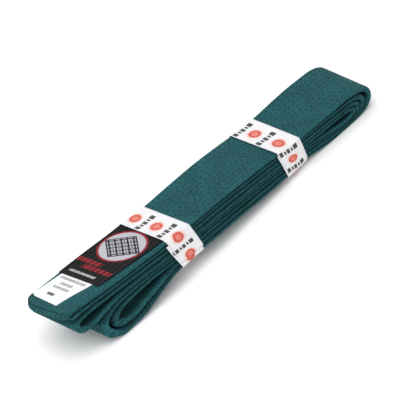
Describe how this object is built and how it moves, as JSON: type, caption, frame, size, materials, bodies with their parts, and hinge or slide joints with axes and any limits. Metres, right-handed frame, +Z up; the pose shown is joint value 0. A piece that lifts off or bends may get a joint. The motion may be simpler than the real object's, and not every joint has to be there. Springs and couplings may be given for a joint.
{
  "type": "folded martial arts belt",
  "caption": "Quilted cotton martial arts belt folded flat into a bundle, with labelled end and hem, held closed by wrapped paper bands that slide.",
  "frame": {"origin": "middle of the bounding box, on the surface that the bundle lies on", "axes": "+X along the bundle towards the end with the nested folds, -X towards the loose labelled end; +Y across the belt; +Z up, away from the floor"},
  "size_m": [0.2596, 0.0528, 0.028],
  "materials": {
    "cover_cloth": "matt twill cotton",
    "core_canvas": "raw cotton canvas",
    "woven_black": "fine woven label",
    "satin_white": "satin ribbon",
    "black_thread": "thread",
    "white_thread": "thread",
    "cover_thread": "thread",
    "printed_paper": "smooth printed paper",
    "glue": "dried glue"
  },
  "bodies": {
    "belt": {"belt_cover": "cover_cloth", "core_ply_outer": "core_canvas", "core_ply_inner": "core_canvas", "plain_end_hem_stitching": "cover_thread"},
    "loose_end": {"tip_cover": "cover_cloth", "tip_core_ply_upper": "core_canvas", "tip_core_ply_lower": "core_canvas", "woven_label": "woven_black", "size_label": "satin_white", "woven_label_stitching": "black_thread", "size_label_stitching": "white_thread", "tip_hem_stitching": "cover_thread"},
    "lower_paper_band": {"lower_band": "printed_paper", "lower_band_glue": "glue"},
    "upper_paper_band": {"upper_band": "printed_paper", "upper_band_glue": "glue"}
  },
  "joints": [
    {"name": "loose_end_lift", "type": "hinge", "parent": "belt", "child": "loose_end", "pos_m": [-0.04871, 0, 0.02291], "axis": [0, 1, 0], "range_deg": [0, 50]},
    {"name": "lower_band_slide", "type": "slide", "parent": "belt", "child": "lower_paper_band", "axis": [0.9992, 0, -0.0388], "range_m": [0, 0.006]},
    {"name": "upper_band_slide", "type": "slide", "parent": "belt", "child": "upper_paper_band", "axis": [0.9992, 0, -0.0388], "range_m": [-0.006, 0.006]}
  ]
}
